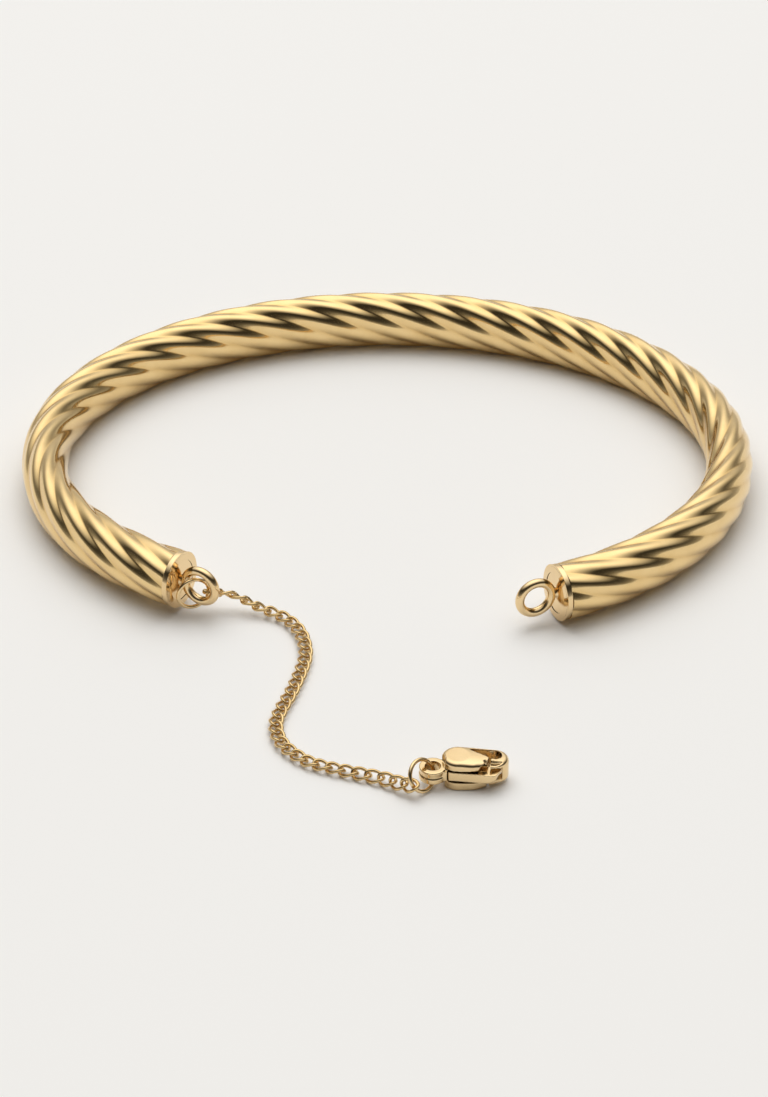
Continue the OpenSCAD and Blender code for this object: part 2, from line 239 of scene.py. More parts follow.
def fit_inside(piece: Piece, node: str) -> None:
    """Draw a piece in by a hair wherever it stands out of the box of the node it dresses.

    Args:
        piece: The finished piece.
        node: The CAD node that it replaces.
    """
    cad_low, cad_high = box_of(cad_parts[node])
    low, high = box_of(piece)
    low_aim = Vector([max(*pair) for pair in zip(low, cad_low)])
    high_aim = Vector([min(*pair) for pair in zip(high, cad_high)])
    share = Vector([(b - a) / (d - c) for a, b, c, d in zip(low_aim, high_aim, low, high)])
    Bench.edit(piece)
    bpy.ops.mesh.select_all(action="SELECT")
    bpy.ops.transform.resize(value=share, center_override=(0, 0, 0))
    bpy.ops.transform.translate(value=[a - b * c for a, b, c in zip(low_aim, low, share)])
    bpy.ops.object.mode_set(mode="OBJECT")


class NodeTable:
    """Makes the nodes of one material or world."""

    def __init__(self, tree: bpy.types.NodeTree) -> None:
        """Keep the tree and empty it."""
        self.tree = tree
        tree.nodes.clear()

    def make(self, kind: str, settings: dict[str, object] | None = None,
             values: dict[str | int, object] | None = None) -> bpy.types.Node:
        """Add one node.

        Args:
            kind: The node's type.
            settings: Its own settings, set first; "stops" gives a ramp's places and colours.
            values: A value, socket or Term for each of its inputs.

        Returns:
            The node.
        """
        node = self.tree.nodes.new(kind)
        for name, value in (settings or {}).items():
            if name == "stops":
                ramp = node.color_ramp.elements
                while len(ramp) < len(value):
                    ramp.new(1.0)
                for element, (place, colour) in zip(ramp, value):
                    element.position, element.color = place, colour
            else:
                setattr(node, name, value)
        for name, value in (values or {}).items():
            socket = node.inputs[name]
            if isinstance(value, Term):
                self.tree.links.new(value.socket, socket)
            elif isinstance(value, bpy.types.NodeSocket):
                self.tree.links.new(value, socket)
            else:
                socket.default_value = value
        return node

    def term(self, kind: str, output: str | int, settings: dict[str, object] | None = None,
             values: dict[str | int, object] | None = None) -> "Term":
        """Add a node and wrap one of its outputs."""
        return Term(self, self.make(kind, settings, values).outputs[output])


class Term:
    """A number that changes over a surface, for use in sums."""

    def __init__(self, table: NodeTable, socket: bpy.types.NodeSocket) -> None:
        """Wrap an output socket."""
        self.table = table
        self.socket = socket

    def _math(self, operation: str, first: "Term | float", second: "Term | float" = 0.0) -> "Term":
        """Add a Math node over two terms or numbers."""
        return self.table.term("ShaderNodeMath", 0, {"operation": operation}, {0: first, 1: second})

    def __add__(self, other: "Term | float") -> "Term":
        """Sum."""
        return self._math("ADD", self, other)

    __radd__ = __add__

    def __sub__(self, other: "Term | float") -> "Term":
        """Difference."""
        return self._math("SUBTRACT", self, other)

    def __rsub__(self, other: "Term | float") -> "Term":
        """Difference with the term second."""
        return self._math("SUBTRACT", other, self)

    def __mul__(self, other: "Term | float") -> "Term":
        """Product."""
        return self._math("MULTIPLY", self, other)

    __rmul__ = __mul__

    def __pow__(self, other: "Term | float") -> "Term":
        """Power."""
        return self._math("POWER", self, other)

    def above(self, other: "Term | float") -> "Term":
        """The larger of two terms."""
        return self._math("MAXIMUM", self, other)

    def below(self, other: "Term | float") -> "Term":
        """The smaller of two terms."""
        return self._math("MINIMUM", self, other)

    def spread(self, low: float, high: float) -> "Term":
        """Stretch the part between two values to run from 0 to 1."""
        return self.table.term("ShaderNodeMapRange", 0, {"clamp": True},
                               {"Value": self, "From Min": low, "From Max": high})


@dataclass(frozen=True)
class GoldFinish:
    """Polished yellow gold plate, with the faint marks of polishing and handling, and, where asked, painted
    shade in the tube's valleys.
    """

    name: str
    bright: tuple[float, float, float] = (0.86, 0.635, 0.315)
    deep: tuple[float, float, float] = (0.74, 0.50, 0.205)
    roughness: float = 0.1
    haze: float = 0.05
    mark_roughness: float = 0.05
    soil_share: float = 0.35
    ripple: float = 0.012
    scratch: float = 0.001
    bump_strength: float = 0.35
    cloud_size: float = 2.2 * MM
    ripple_size: float = 0.9 * MM
    scratch_size: float = 0.22 * MM
    scratch_stretch: tuple[float, float, float] = (0.18, 1.0, 1.0)
    # With valley on, the ribs' valleys are darkened by their depth as painted shade, and their metal is
    # made rougher
    valley: bool = False
    valley_shade: float = 0.6
    valley_roughness: float = 0.1

    def build(self) -> bpy.types.Material:
        """Make the material.

        Returns:
            The finished material.
        """
        material = bpy.data.materials.new(self.name)
        material.use_nodes = True
        table = NodeTable(material.node_tree)
        place = table.make("ShaderNodeTexCoord").outputs["Object"]
        clouds = self._noise(table, place, self.cloud_size, 3.0)
        ripples = self._noise(table, place, self.ripple_size, 1.0)
        # Fine polishing lines, drawn out along X
        drawn = table.make("ShaderNodeMapping", None, {"Vector": place, "Scale": self.scratch_stretch})
        lines = self._noise(table, drawn.outputs[0], self.scratch_size, 2.0)
        marks = lines.spread(0.56, 0.72)
        soil_and_valley_shade = clouds.spread(0.42, 0.75) * self.soil_share
        roughness = self.roughness + clouds.spread(0.3, 0.7) * self.haze + marks * self.mark_roughness
        # Painted shade: the valleys are darkened towards the deep colour by their depth, and their metal is
        # made rougher
        if self.valley:
            valley = table.term("ShaderNodeAttribute", "Fac", {"attribute_name": "valley"})
            depth = valley ** 3.0
            soil_and_valley_shade = (soil_and_valley_shade + depth * self.valley_shade).below(1.0)
            roughness = roughness + depth * self.valley_roughness
        colour = table.make("ShaderNodeMix", {"data_type": "RGBA"},
                            {0: soil_and_valley_shade, 6: (*self.bright, 1.0), 7: (*self.deep, 1.0)}).outputs[2]
        height = ripples * self.ripple + marks * -self.scratch
        bump = table.make("ShaderNodeBump", None, {
            "Strength": self.bump_strength, "Distance": MM, "Height": height})
        shader = table.make("ShaderNodeBsdfPrincipled", None, {
            "Base Color": colour, "Metallic": 1.0, "Roughness": roughness, "Normal": bump.outputs[0]})
        table.make("ShaderNodeOutputMaterial", None, {"Surface": shader.outputs[0]})
        return material

    @staticmethod
    def _noise(table: NodeTable, place: bpy.types.NodeSocket, size: float, detail: float) -> Term:
        """Noise with features of about the given size."""
        return table.term("ShaderNodeTexNoise", 0, None, {
            "Vector": place, "Scale": 1.0 / size, "Detail": detail})


@dataclass(frozen=True)
class Finishes:
    """The gold finishes of the bangle's pieces."""

    tube: GoldFinish = GoldFinish("tube_gold", valley=True)
    cap: GoldFinish = GoldFinish("cap_gold", (0.87, 0.655, 0.37), (0.76, 0.52, 0.24), 0.1)
    ring: GoldFinish = GoldFinish("ring_gold", (0.86, 0.65, 0.36), (0.74, 0.50, 0.22), 0.1)
    chain: GoldFinish = GoldFinish("chain_gold", (0.76, 0.55, 0.27), (0.55, 0.36, 0.15), 0.14)
    clasp: GoldFinish = GoldFinish("clasp_gold", (0.82, 0.62, 0.35), (0.68, 0.46, 0.21), 0.12, 0.06)


@dataclass
class Oval:
    """Middle line of the tube: part of an ellipse, from its right end round to its left end."""

    half_length: float = 31 * MM
    half_width: float = 25.4 * MM
    right_end_angle: float = 28.6
    left_end_angle: float = 35.6
    points: list[Vector] = field(init=False)
    steps: int = 720

    def __post_init__(self) -> None:
        """Work out the points of the middle line."""
        self.start = self.right_end_angle - 90
        self.end = 270 - self.left_end_angle
        self.points = [self.point(self.start + (self.end - self.start) * i / self.steps)
                       for i in range(self.steps + 1)]

    @property
    def length(self) -> float:
        """Length of the middle line."""
        return sum((b - a).length for a, b in zip(self.points, self.points[1:]))

    def point(self, angle: float) -> Vector:
        """Point of the ellipse at an angle in degrees."""
        turn = math.radians(angle)
        return Vector((self.half_length * math.cos(turn), self.half_width * math.sin(turn), 0))

    def heading(self, angle: float) -> Vector:
        """Find the way along the tube.

        Args:
            angle: The place on the ellipse, in degrees.

        Returns:
            The way, of length one.
        """
        turn = math.radians(angle)
        way = Vector((-self.half_length * math.sin(turn), self.half_width * math.cos(turn), 0))
        return way.normalized()

    def guide(self, height: float) -> Piece:
        """Make the middle line as a curve for a Curve modifier to follow.

        Args:
            height: The line's height above the floor.

        Returns:
            The curve.
        """
        curve = bpy.data.curves.new("oval_guide", "CURVE")
        curve.dimensions = "3D"
        curve.twist_mode = "Z_UP"
        spline = curve.splines.new("POLY")
        spline.points.add(len(self.points) - 1)
        for spot, point in zip(spline.points, self.points):
            spot.co = (point.x, point.y, height, 1)
        guide = bpy.data.objects.new("oval_guide", curve)
        bpy.context.collection.objects.link(guide)
        return guide


@dataclass
class TwistedTube:
    """The bangle's tube, with ribs that wind round it."""

    oval: Oval
    width: float = 4.2 * MM
    height: float = 5.45 * MM
    rib_count: int = 8
    rib_depth: float = 0.22 * MM
    rib_sharpness: float = 0.45
    twist_pitch: float = 36.5 * MM
    end_width: float = 4.7 * MM
    end_height: float = 5.1 * MM
    end_length: float = 18 * MM
    end_lift: float = 0.3 * MM
    first_valley: float = 28.2
    wall: float = 0.5 * MM
    rib_sides: int = 18
    rings: int = 400

    def sink(self, place: float) -> float:
        """Work out how far a place lies below the crests.

        Args:
            place: The place across one rib, from 0 to 1, with the valleys at both ends.

        Returns:
            The depth.
        """
        wave = (1 + math.cos(math.tau * place)) / 2
        bowl = (2 * place - 1) ** 2
        return self.rib_depth * (self.rib_sharpness * bowl + (1 - self.rib_sharpness) * wave)

    def build(self, finish: bpy.types.Material) -> Piece:
        """Model the tube straight, then bend it round the oval.

        Args:
            finish: The tube's material.

        Returns:
            The finished tube.
        """
        length = self.oval.length
        sides = self.rib_count * self.rib_sides
        Bench.clear()
        bpy.ops.mesh.primitive_circle_add(vertices=sides, radius=self.height / 2, fill_type="NOTHING")
        tube = Bench.named("tube")
        self._shape_ribs(tube)
        Bench.settle(tube, Euler((0, 0, math.radians(-self.first_valley))))
        Bench.modify(tube, "SCREW", angle=math.tau * length / self.twist_pitch, screw_offset=length,
                     steps=self.rings, render_steps=self.rings, axis="Z", use_smooth_shade=True)
        # The circle's own X goes outwards from the oval and its axis goes along the tube
        Bench.settle(tube, Matrix(((0, 0, 1), (-1, 0, 0), (0, -1, 0))))
        self._shape_ends(tube, length)
        guide = self.oval.guide(self.height / 2)
        Bench.modify(tube, "CURVE", object=guide, deform_axis="POS_X")
        bpy.data.objects.remove(guide)
        Bench.tidy(tube)
        Bench.paint(tube, finish)
        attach(tube, "bangle")
        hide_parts("twisted_tube")
        return tube

    def _shape_ribs(self, tube: Piece) -> None:
        """Draw the circle in towards each valley, and mark how deep each place lies.

        Args:
            tube: The circle, whose corners stand evenly round it.
        """
        crest = self.height / 2
        rib_turn = math.tau / self.rib_count

        def corner(co: Vector) -> int:
            """Number of a corner within its rib, counted from the valley."""
            return round(math.atan2(co.y, co.x) / rib_turn * self.rib_sides) % self.rib_sides

        Bench.edit(tube)
        for step in range(self.rib_sides):
            Bench.pick(tube, "VERT", lambda co, _: corner(co) == step)
            share = 1 - self.sink(step / self.rib_sides) / crest
            bpy.ops.transform.resize(value=(share, share, 1), center_override=(0, 0, 0))
        bpy.ops.object.mode_set(mode="OBJECT")
        # The tube's material uses this depth to paint shade into the valleys
        depth = tube.data.attributes.new("valley", "FLOAT", "POINT")
        for vertex, mark in zip(tube.data.vertices, depth.data):
            mark.value = (crest - vertex.co.length) / self.rib_depth

    def _shape_ends(self, tube: Piece, length: float) -> None:
        """Press the section to its oval, round it towards the ends, and close them.

        Args:
            tube: The straight tube along X.
            length: Its length.
        """
        Bench.edit(tube)
        bpy.ops.mesh.select_all(action="SELECT")
        bpy.ops.transform.resize(value=(1, self.width / self.height, 1), center_override=(0, 0, 0))
        wider = (1, self.end_width / self.width, self.end_height / self.height)
        step = length / self.rings / 4
        for x in (0, length):
            Bench.pick(tube, "VERT", lambda co, _: abs(co.x - x) < step)
            bpy.ops.transform.resize(value=wider, center_override=(x, 0, 0), use_proportional_edit=True,
                                     proportional_edit_falloff="SMOOTH", proportional_size=self.end_length)
        Bench.pick(tube, "VERT", lambda co, _: abs(co.x - length) < step)
        bpy.ops.transform.translate(value=(0, 0, self.end_lift), use_proportional_edit=True,
                                    proportional_edit_falloff="SMOOTH", proportional_size=self.end_length)
        # The rim of the metal shows in the seam beside each cap
        for x, lift in ((0, 0.0), (length, self.end_lift)):
            Bench.pick(tube, "VERT", lambda co, _: abs(co.x - x) < step)
            share = 1 - 2 * self.wall / self.end_width
            bpy.ops.mesh.extrude_region_move()
            bpy.ops.transform.resize(value=(1, share, share), center_override=(x, 0, lift))
            bpy.ops.mesh.edge_face_add()
        bpy.ops.object.mode_set(mode="OBJECT")


@dataclass
class EndCap:
    """Bevelled disc on one end of the tube, with an upright wire eyelet soldered to it."""

    side: Side
    oval: Oval
    tube: TwistedTube
    thickness: float = 0.5 * MM
    bevel: float = 0.14 * MM
    seam: float = 0.05 * MM
    dome: float = 0.03 * MM
    eyelet_diameter: float = 3.75 * MM
    eyelet_wire: float = 0.8 * MM
    solder_height: float = 0.05 * MM
    solder_foot: float = 1.3 * MM

    @property
    def reach(self) -> float:
        """Distance from the end of the tube to the middle of the eyelet."""
        return self.seam + self.thickness + self.solder_height + self.eyelet_diameter / 2

    @property
    def way(self) -> Vector:
        """Way out of the tube."""
        right = self.side is Side.RIGHT
        return self.oval.heading(self.oval.start if right else self.oval.end) * (-1 if right else 1)

    @property
    def foot(self) -> Vector:
        """Middle of the tube's end."""
        right = self.side is Side.RIGHT
        spot = self.oval.point(self.oval.start if right else self.oval.end)
        spot.z = self.tube.height / 2 + (0 if right else self.tube.end_lift)
        return spot

    def build(self, finish: bpy.types.Material) -> Piece:
        """Model the cap about its own Z, which runs out of the tube, and put it on the tube.

        Args:
            finish: The cap's material.

        Returns:
            The finished cap.
        """
        cap = Bench.join(self._disc(), self._solder(), self._eyelet())
        cap.name = cap.data.name = "cap_" + self.side.name.lower()
        out, up = self.way, Vector((0, 0, 1))
        across = up.cross(out)
        Bench.settle(cap, Matrix((across, up, out)).transposed().to_3x3(), self.foot)
        bpy.ops.object.shade_smooth_by_angle(angle=math.radians(50))
        Bench.paint(cap, finish)
        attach(cap, "bangle")
        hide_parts(self.side.value)
        return cap

    def _disc(self) -> Piece:
        """Make the disc, polished to a bevel round its rim.

        Returns:
            The disc.
        """
        Bench.clear()
        bpy.ops.mesh.primitive_cylinder_add(
            vertices=128, radius=self.tube.end_width / 2, depth=self.thickness,
            location=(0, 0, self.seam + self.thickness / 2))
        disc = Bench.settle(Bench.named("disc"))
        front = self.seam + self.thickness
        Bench.edit(disc)
        bpy.ops.mesh.select_all(action="SELECT")
        bpy.ops.transform.resize(value=(1, self.tube.end_height / self.tube.end_width, 1),
                                 center_override=(0, 0, 0))
        for height, width in ((front, self.bevel), (self.seam, self.bevel / 3)):
            Bench.pick(disc, "EDGE", lambda co, _: abs(co.z - height) < 1e-6)
            bpy.ops.mesh.bevel(offset=width, segments=4, profile=0.6)
        Bench.pick(disc, "FACE", lambda co, normal: normal.z > 0.99)
        for share in (0.25, 0.3, 0.3):
            bpy.ops.mesh.inset(thickness=self.tube.end_width / 2 * share)
            bpy.ops.transform.translate(value=(0, 0, self.dome * share))
        bpy.ops.object.mode_set(mode="OBJECT")
        return disc

    def _solder(self) -> Piece:
        """Make the solder's concave cone between the disc and the eyelet.

        Returns:
            The cone.
        """
        top = self.reach - self.eyelet_diameter / 2 + self.eyelet_wire / 2
        base = self.seam + self.thickness - self.solder_height
        Bench.clear()
        bpy.ops.mesh.primitive_cone_add(
            vertices=48, radius1=self.solder_foot / 2, radius2=self.eyelet_wire / 3, depth=top - base,
            location=(0, 0, (top + base) / 2))
        solder = Bench.settle(Bench.named("solder"))
        Bench.edit(solder)
        for share, waist in ((0.25, 0.82), (0.55, 0.8)):
            height = base + (top - base) * share
            bpy.ops.mesh.select_all(action="SELECT")
            bpy.ops.mesh.bisect(plane_co=(0, 0, height), plane_no=(0, 0, 1))
            Bench.pick(solder, "VERT", lambda co, _: abs(co.z - height) < 1e-6)
            bpy.ops.transform.resize(value=(waist, waist, 1), center_override=(0, 0, height))
        bpy.ops.object.mode_set(mode="OBJECT")
        return solder

    def _eyelet(self) -> Piece:
        """Make the eyelet of round wire, upright in the cap's own frame.

        Returns:
            The eyelet.
        """
        Bench.clear()
        bpy.ops.mesh.primitive_torus_add(
            major_segments=96, minor_segments=32, minor_radius=self.eyelet_wire / 2,
            major_radius=(self.eyelet_diameter - self.eyelet_wire) / 2,
            location=(0, 0, self.reach), rotation=(0, math.pi / 2, 0))
        return Bench.settle(Bench.named("eyelet"))


@dataclass
class JumpRing:
    """Ring of fine wire with a closed saw cut."""

    node: str
    diameter: float
    middle: Vector
    direction: float
    lean: float
    wire: float = 0.34 * MM
    cut_place: float = 130.0
    cut_reach: float = 0.02
    cut_share: float = 0.82

    @property
    def radius(self) -> float:
        """Radius of the middle of the wire."""
        return (self.diameter - self.wire) / 2

    @property
    def turn(self) -> Matrix:
        """Turn of the ring from lying flat."""
        return Euler((0, math.radians(self.lean), math.radians(self.direction))).to_matrix()

    def spot(self, place: float) -> Vector:
        """Find a point in the middle of the wire.

        Args:
            place: The place round the ring, in degrees.

        Returns:
            The point.
        """
        spin, lean, at = map(math.radians, (self.direction, self.lean, place))
        across = Vector((-math.sin(spin), math.cos(spin), 0))
        down = Vector((math.cos(spin) * math.cos(lean), math.sin(spin) * math.cos(lean), -math.sin(lean)))
        return self.middle + self.radius * (across * math.cos(at) - down * math.sin(at))

    def build(self, finish: bpy.types.Material) -> Piece:
        """Model the ring flat, with its saw cut, then hang it in its place.

        Args:
            finish: The ring's material.

        Returns:
            The finished ring.
        """
        Bench.clear()
        bpy.ops.mesh.primitive_torus_add(
            major_segments=120, minor_segments=20, major_radius=self.radius, minor_radius=self.wire / 2)
        ring = Bench.named(self.node + "_wire")
        cut = math.radians(self.cut_place)
        way = Vector((math.cos(cut), math.sin(cut), 0))
        Bench.edit(ring)
        Bench.pick(ring, "VERT", lambda co, _: (
            (Vector((co.x, co.y, 0)).normalized() - way).length < self.cut_reach))
        bpy.ops.transform.resize(value=(self.cut_share,) * 3, center_override=way * self.radius)
        bpy.ops.object.mode_set(mode="OBJECT")
        Bench.settle(ring, self.turn, self.middle)
        bpy.ops.object.shade_smooth_by_angle(angle=math.radians(60))
        Bench.paint(ring, finish)
        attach(ring, "bangle")
        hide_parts(self.node)
        return ring


@dataclass
class SafetyChain:
    """Curb chain that lies loose on the floor, from one jump ring to the other."""

    start: Vector
    finish_spot: Vector
    ring_wire: float = 0.34 * MM
    pitch: float = 1.12 * MM
    wire: float = 0.29 * MM
    width: float = 1.32 * MM
    play: float = 0.16 * MM
    shoulder: float = 1.2
    twist: float = 45.0
    start_roll: float = -48.0
    finish_roll: float = 55.0
    roll_length: float = 7 * MM
    # Route chosen, in millimetres
    route: Sequence[tuple[float, float, float]] = (
        (-13.6, -21.2, 1.75), (-12.4, -21.4, 1.35), (-11.2, -21.8, 0.9), (-10.0, -22.2, 0.6),
        (-9.0, -22.8, 0.48), (-8.1, -23.8, 0.46), (-7.4, -25.2, 0.46), (-7.0, -26.9, 0.46),
        (-6.9, -28.8, 0.46), (-7.3, -31.2, 0.46), (-8.0, -34.0, 0.46), (-8.7, -36.2, 0.46),
        (-9.1, -38.1, 0.46), (-8.9, -40.0, 0.46), (-8.1, -41.7, 0.46), (-6.4, -43.4, 0.46),
        (-4.2, -44.4, 0.47), (-2.0, -45.2, 0.5), (-0.4, -45.9, 0.6), (0.8, -46.7, 0.78))
    curve_steps: int = 24

    def __post_init__(self) -> None:
        """Work out the smooth route and its lengths."""
        stops = [self.start, *(Vector(p) * MM for p in self.route), self.finish_spot]
        last = len(stops) - 1
        self.points: list[Vector] = []
        for i in range(last):
            four = [stops[max(i - 1, 0)], stops[i], stops[i + 1], stops[min(i + 2, last)]]
            self.points += [self._curve(*four, j / self.curve_steps) for j in range(self.curve_steps)]
        self.points.append(stops[last])
        self.lengths = [0.0]
        for a, b in zip(self.points, self.points[1:]):
            self.lengths.append(self.lengths[-1] + (b - a).length)

    @staticmethod
    def _curve(a: Vector, b: Vector, c: Vector, d: Vector, t: float) -> Vector:
        """Find a point of the smooth curve through four stops.

        Args:
            a: The stop before the curve's start.
            b: Its start.
            c: Its end.
            d: The stop after its end.
            t: How far along it the point lies, from 0 to 1.

        Returns:
            The point.
        """
        return 0.5 * (2 * b + (c - a) * t + (2 * a - 5 * b + 4 * c - d) * t ** 2
                      + (3 * b - a - 3 * c + d) * t ** 3)

    def at(self, length: float) -> Vector:
        """Find a point of the route.

        Args:
            length: Its distance from the start, held within the route.

        Returns:
            The point.
        """
        length = min(max(length, 0.0), self.lengths[-1])
        for i in range(1, len(self.lengths)):
            if self.lengths[i] >= length:
                share = (length - self.lengths[i - 1]) / (self.lengths[i] - self.lengths[i - 1])
                return self.points[i - 1].lerp(self.points[i], share)
        return self.points[-1]

    def build(self, finish: bpy.types.Material) -> Piece:
        """Model one link, copy it along the route and join the chain.

        Args:
            finish: The chain's material.

        Returns:
            The finished chain.
        """
        total = self.lengths[-1]
        hollow = self.pitch + self.play
        first = (hollow - self.ring_wire) / 2 - 0.75 * self.play
        count = math.ceil((total - 2 * first) / self.pitch) + 1
        step = (total - 2 * first) / (count - 1)
        pattern = self._link(hollow)
        links = []
        for i in range(count):
            link = pattern.copy()
            link.data = pattern.data.copy()
            bpy.context.collection.objects.link(link)
            self._lay(link, first + i * step, step, total)
            links.append(link)
        bpy.data.objects.remove(pattern)
        chain = Bench.join(*links)
        chain.name = chain.data.name = "chain"
        bpy.ops.object.transform_apply(location=True, rotation=True, scale=True)
        Bench.paint(chain, finish)
        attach(chain, "bangle")
        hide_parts("safety_chain")
        return chain

    def _link(self, hollow: float) -> Piece:
        """Model one curb link: a flattened loop of wire with each end turned the opposite way.

        Args:
            hollow: The length of the loop's inside.

        Returns:
            The link, lying along X.
        """
        half, side = (hollow + self.wire) / 2, (self.width - self.wire) / 2
        Bench.clear()
        bpy.ops.curve.primitive_bezier_circle_add(radius=1)
        link = Bench.named("link")
        loop = link.data
        loop.resolution_u = 8
        for point in loop.splines[0].bezier_points:
            # Longer handles square the loop's shoulders
            for handle in ("handle_left", "handle_right"):
                setattr(point, handle, point.co + (getattr(point, handle) - point.co) * self.shoulder)
            for name in ("handle_left", "co", "handle_right"):
                spot = getattr(point, name)
                setattr(point, name, Vector((spot.x * half, spot.y * side, 0)))
        loop.bevel_depth = self.wire / 2
        loop.bevel_resolution = 2
        Bench.hold(link)
        bpy.ops.object.convert(target="MESH")
        Bench.modify(link, "SIMPLE_DEFORM", deform_method="TWIST", deform_axis="X",
                     angle=math.radians(-2 * self.twist))
        Bench.tidy(link, 60)
        return link

    def _lay(self, link: Piece, length: float, step: float, total: float) -> None:
        """Put one link on the route, rolled over towards the jump ring near each end.

        Args:
            link: The link.
            length: Its place along the route.
            step: The distance from link to link.
            total: The length of the route.
        """
        ahead = (self.at(length + step / 2) - self.at(length - step / 2)).normalized()
        level = Vector((0, 0, 1)).cross(ahead).normalized()
        upright = ahead.cross(level)
        roll = math.radians(self.start_roll * max(0, 1 - length / self.roll_length)
                            + self.finish_roll * max(0, 1 - (total - length) / self.roll_length))
        left = level * math.cos(roll) + upright * math.sin(roll)
        up = upright * math.cos(roll) - level * math.sin(roll)
        turn = Matrix((ahead, left, up)).transposed().to_4x4()
        link.matrix_world = Matrix.Translation(self.at(length)) @ turn


@dataclass
class Clasp:
    """Lobster clasp: cast casing with its hook and tail ring, and the sprung lever."""

    place: Vector = field(default_factory=lambda: Vector((3.6, -45.8, 0)) * MM)
    length: float = 6.05 * MM
    width: float = 2.65 * MM
    thickness: float = 2.62 * MM
    shift: float = 0.38 * MM
    rear: float = 2.0 * MM
    waist: float = 3.0 * MM
    waist_drop: float = 0.1 * MM
    hook_radius: float = 1.12 * MM
    hook_top: float = 2.3 * MM
    hook_rise: float = 0.42 * MM
    lever_thickness: float = 0.8 * MM
    lever_slit: float = 0.18 * MM
    lever_clear: float = 0.08 * MM
    lever_root: float = 0.55 * MM
    lever_end_gap: float = 0.52 * MM
    lever_travel: float = 20.0
    heel_place: float = 1.32 * MM
    heel_inset: float = 0.22 * MM
    heel_radius: float = 0.12 * MM
    nose_side: float = -0.4 * MM
    nose_radius: float = 0.2 * MM
    nub_place: float = 4.85 * MM
    nub_reach: float = 0.22 * MM
    nub_radius: float = 0.14 * MM
    slot_wall: float = 0.25 * MM
    slot_steps: int = 4
    tail_diameter: float = 2.25 * MM
    tail_hole: float = 1.24 * MM
    tail_height: float = 1.12 * MM
    tail_rise: float = -0.05 * MM
    tail_bevel: float = 0.1 * MM
    tail_groove: float = 0.1 * MM
    groove_share: float = 0.9
    neck_width: float = 1.5 * MM
    neck_overlap: float = 0.45 * MM
    eye_radius: float = 0.62 * MM
    eye_tip_radius: float = 0.12 * MM
    eye_tip_place: float = 3.1 * MM
    eye_tip_inset: float = 0.1 * MM
    hook_wall: float = 0.56 * MM
    rear_wall: float = 0.32 * MM
    gate_width: float = 0.2 * MM
    gate_length: float = 1.1 * MM
    gate_setback: float = 2.05 * MM
    gate_lean: float = -14.0
    mouth_radius: float = 1.4 * MM
    mouth_depth: float = 0.22 * MM
    mouth_shift: float = 0.95 * MM
    mouth_inset: float = 0.85 * MM
    notch_radius: float = 0.46 * MM
    notch_shift: float = 0.1 * MM
    notch_back: float = -0.35 * MM
    tip_start: float = 4.3 * MM
    tip_slope: float = 30.0
    top_round: float = 0.4 * MM
    foot_round: float = 0.18 * MM
    voxel: float = 0.045 * MM
    # How far a cutter stands out of what it cuts
    spare: float = MM

    @property
    def radius(self) -> float:
        """Radius of the casing's and the hook's round ends."""
        return self.width / 2

    @property
    def pivot(self) -> float:
        """Distance from the middle of the tail ring to the lever's pivot."""
        return self.tail_diameter / 2 + self.slot_wall + self.lever_clear + self.lever_root

    @property
    def gate_middle(self) -> float:
        """Distance from the middle of the tail ring to the gate."""
        return self.length - self.gate_setback

    @property
    def front(self) -> float:
        """Place of the casing's front side across the clasp."""
        return self.shift - self.radius

    @property
    def tail_middle(self) -> float:
        """Height of the middle of the tail ring."""
        return self.thickness / 2 + self.tail_rise

    @property
    def clear_top(self) -> float:
        """Height that is clear of the casing."""
        return self.thickness + self.spare

    def _level_rod(self, name: str, radius: float, sides: int, place: Vector) -> Piece:
        """Make a rod that lies level, from a place forwards.

        Args:
            name: The rod's name.
            radius: Its radius.
            sides: Number of its sides.
            place: Middle of its rear end.

        Returns:
            The rod.
        """
        rod = self._rod(name, 0, 0, radius, 0, 2 * MM, sides)
        return Bench.settle(rod, Euler((math.pi / 2, 0, 0)), place)

    def _rod(self, name: str, x: float, y: float, radius: float, low: float, high: float,
             sides: int = 48) -> Piece:
        """Make an upright rod in the clasp's own plan.

        Args:
            name: The rod's name.
            x: Its place along the clasp.
            y: Its place across the clasp.
            radius: Its radius.
            low: Height of its foot.
            high: Height of its top.
            sides: Number of its sides.

        Returns:
            The rod.
        """
        Bench.clear()
        bpy.ops.mesh.primitive_cylinder_add(
            vertices=sides, radius=radius, depth=high - low, location=(x, y, (low + high) / 2))
        return Bench.settle(Bench.named(name))

    def _block(self, name: str, low: Vector, high: Vector, turn: float = 0.0,
               place: Vector | None = None) -> Piece:
        """Make a box between two corners, then turn and move it.

        Args:
            name: The box's name.
            low: Its lowest corner.
            high: Its highest corner.
            turn: Its turn about the upright axis through the origin, in degrees.
            place: Where its origin goes.

        Returns:
            The box.
        """
        Bench.clear()
        bpy.ops.mesh.primitive_cube_add(size=1, location=(low + high) / 2, scale=high - low)
        block = Bench.settle(Bench.named(name))
        return Bench.settle(block, Euler((0, 0, math.radians(turn))), place)

    def _lever_plan(self, name: str, low: float, high: float, grow: float, turn: float = 0.0) -> Piece:
        """Draw the lever's form over four rods about its pivot, and turn it.

        Args:
            name: The form's name.
            low: Height of its foot.
            high: Height of its top.
            grow: How far it stands out all round.
            turn: Its turn about the pivot, in degrees.

        Returns:
            The form.
        """
        reach = self.length - self.lever_end_gap - self.lever_clear - self.pivot
        nose = math.sqrt((reach - self.nose_radius) ** 2 - self.nose_side ** 2)
        rods = [(0, 0, self.lever_root),
                (self.heel_place - self.pivot, self.front + self.heel_inset, self.heel_radius),
                (nose, self.nose_side, self.nose_radius),
                (self.nub_place - self.pivot, self.front - self.nub_reach, self.nub_radius)]
        form = Bench.hull(*[self._rod(name, x, y, radius + grow, low, high, 32) for x, y, radius in rods])
        return Bench.settle(form, Euler((0, 0, math.radians(turn))), Vector((self.pivot, 0, 0)))

